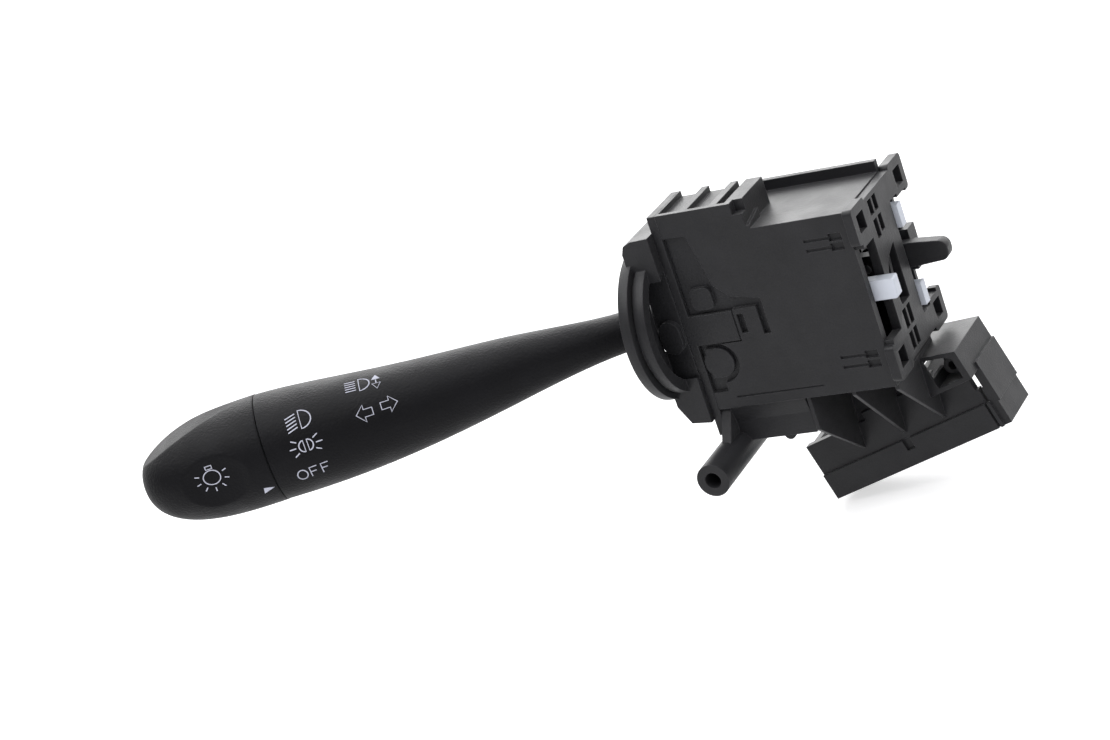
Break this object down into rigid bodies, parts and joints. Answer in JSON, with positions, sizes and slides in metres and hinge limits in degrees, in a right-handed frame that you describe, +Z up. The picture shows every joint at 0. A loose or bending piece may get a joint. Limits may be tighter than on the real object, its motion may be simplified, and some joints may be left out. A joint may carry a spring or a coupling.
{
  "type": "steering column combination stalk switch",
  "caption": "Car steering column combination switch: lever with turning light knob, black casing, sprung cancel finger, rear plug socket and column bracket.",
  "frame": {"origin": "centre of the front end of the shroud screw boss", "axes": "+X from the lever towards the steering column, +Y from the driver towards the dashboard, +Z up"},
  "size_m": [0.2016, 0.1072, 0.0923],
  "materials": {
    "black_plastic": "satin",
    "grained_plastic": "fine grain",
    "white_nylon": "satin",
    "spring_steel": "plain",
    "contact_brass": "plain"
  },
  "bodies": {
    "casing": {"housing": "black_plastic", "lever_side_cover": "black_plastic", "lever_guard": "black_plastic", "end_cover": "black_plastic", "terminal_base": "black_plastic", "connector_terminals": "contact_brass", "fixed_contacts": "contact_brass", "base_screws": "spring_steel", "column_bracket": "black_plastic", "turn_detent_cam": "black_plastic", "finger_pin": "spring_steel"},
    "carrier": {"turn_carrier": "black_plastic", "white_striker": "white_nylon", "lever_pivot_pin": "spring_steel", "turn_plunger_spring": "spring_steel"},
    "turn_plunger": {"turn_plunger": "white_nylon"},
    "lever": {"lever_holder": "black_plastic", "dimmer_plunger_spring": "spring_steel", "dust_shield": "black_plastic", "stalk_shell": "grained_plastic", "knob_bearing": "black_plastic", "light_contact_plate": "contact_brass"},
    "dimmer_plunger": {"dimmer_plunger": "white_nylon"},
    "knob": {"light_knob": "grained_plastic", "knob_core": "black_plastic", "knob_detent_spring": "spring_steel", "light_rotor": "white_nylon", "rotor_contact": "contact_brass", "rotor_clip": "black_plastic"},
    "knob_pin": {"knob_detent_pin": "white_nylon"},
    "turn_slider": {"turn_slider": "white_nylon"},
    "dimmer_slider": {"dimmer_slider": "white_nylon"},
    "finger": {"cancel_finger": "black_plastic"},
    "cancel_slider": {"cancel_slider": "white_nylon"}
  },
  "joints": [
    {"name": "turn_swing", "type": "hinge", "parent": "casing", "child": "carrier", "pos_m": [0.0063, 0.0343, 0.0359], "axis": [0, 1, 0], "range_deg": [-10, 10]},
    {"name": "lever_pull", "type": "hinge", "parent": "carrier", "child": "lever", "pos_m": [0.0063, 0.0343, 0.0359], "axis": [0, 0, 1], "range_deg": [-5, 6]},
    {"name": "knob_turn", "type": "hinge", "parent": "lever", "child": "knob", "pos_m": [-0.10522, -0.02499, 0.0359], "axis": [-0.8829, -0.4695, 0], "range_deg": [0, 58]},
    {"name": "turn_slide", "type": "slide", "parent": "casing", "child": "turn_slider", "axis": [0, 0, 1], "range_m": [-0.0028, 0.0028]},
    {"name": "dimmer_slide", "type": "slide", "parent": "carrier", "child": "dimmer_slider", "axis": [0, 1, 0], "range_m": [-0.00072, 0.00085]},
    {"name": "finger_swing", "type": "hinge", "parent": "casing", "child": "finger", "pos_m": [0.0408, 0.0415, 0.0359], "axis": [0, 1, 0], "range_deg": [-12, 12], "stiffness_Nm_per_rad": 0.05},
    {"name": "cancel_slide", "type": "slide", "parent": "casing", "child": "cancel_slider", "axis": [0, 0, 1], "range_m": [-0.0012, 0.0012]},
    {"name": "turn_plunge", "type": "slide", "parent": "carrier", "child": "turn_plunger", "axis": [1, 0, 0], "range_m": [-0.001, 0.0006], "stiffness_N_per_m": 400},
    {"name": "dimmer_plunge", "type": "slide", "parent": "lever", "child": "dimmer_plunger", "axis": [1, 0, 0], "range_m": [-0.001, 0.0006], "stiffness_N_per_m": 400},
    {"name": "knob_plunge", "type": "slide", "parent": "knob", "child": "knob_pin", "axis": [0.8829, 0.4695, 0], "range_m": [-0.001, 0.0006], "stiffness_N_per_m": 300}
  ],
  "couplings": [
    {"joint": "turn_slide", "follows": "turn_swing", "m_per_rad": -0.016},
    {"joint": "dimmer_slide", "follows": "lever_pull", "m_per_rad": 0.008},
    {"joint": "cancel_slide", "follows": "finger_swing", "m_per_rad": -0.0056}
  ]
}
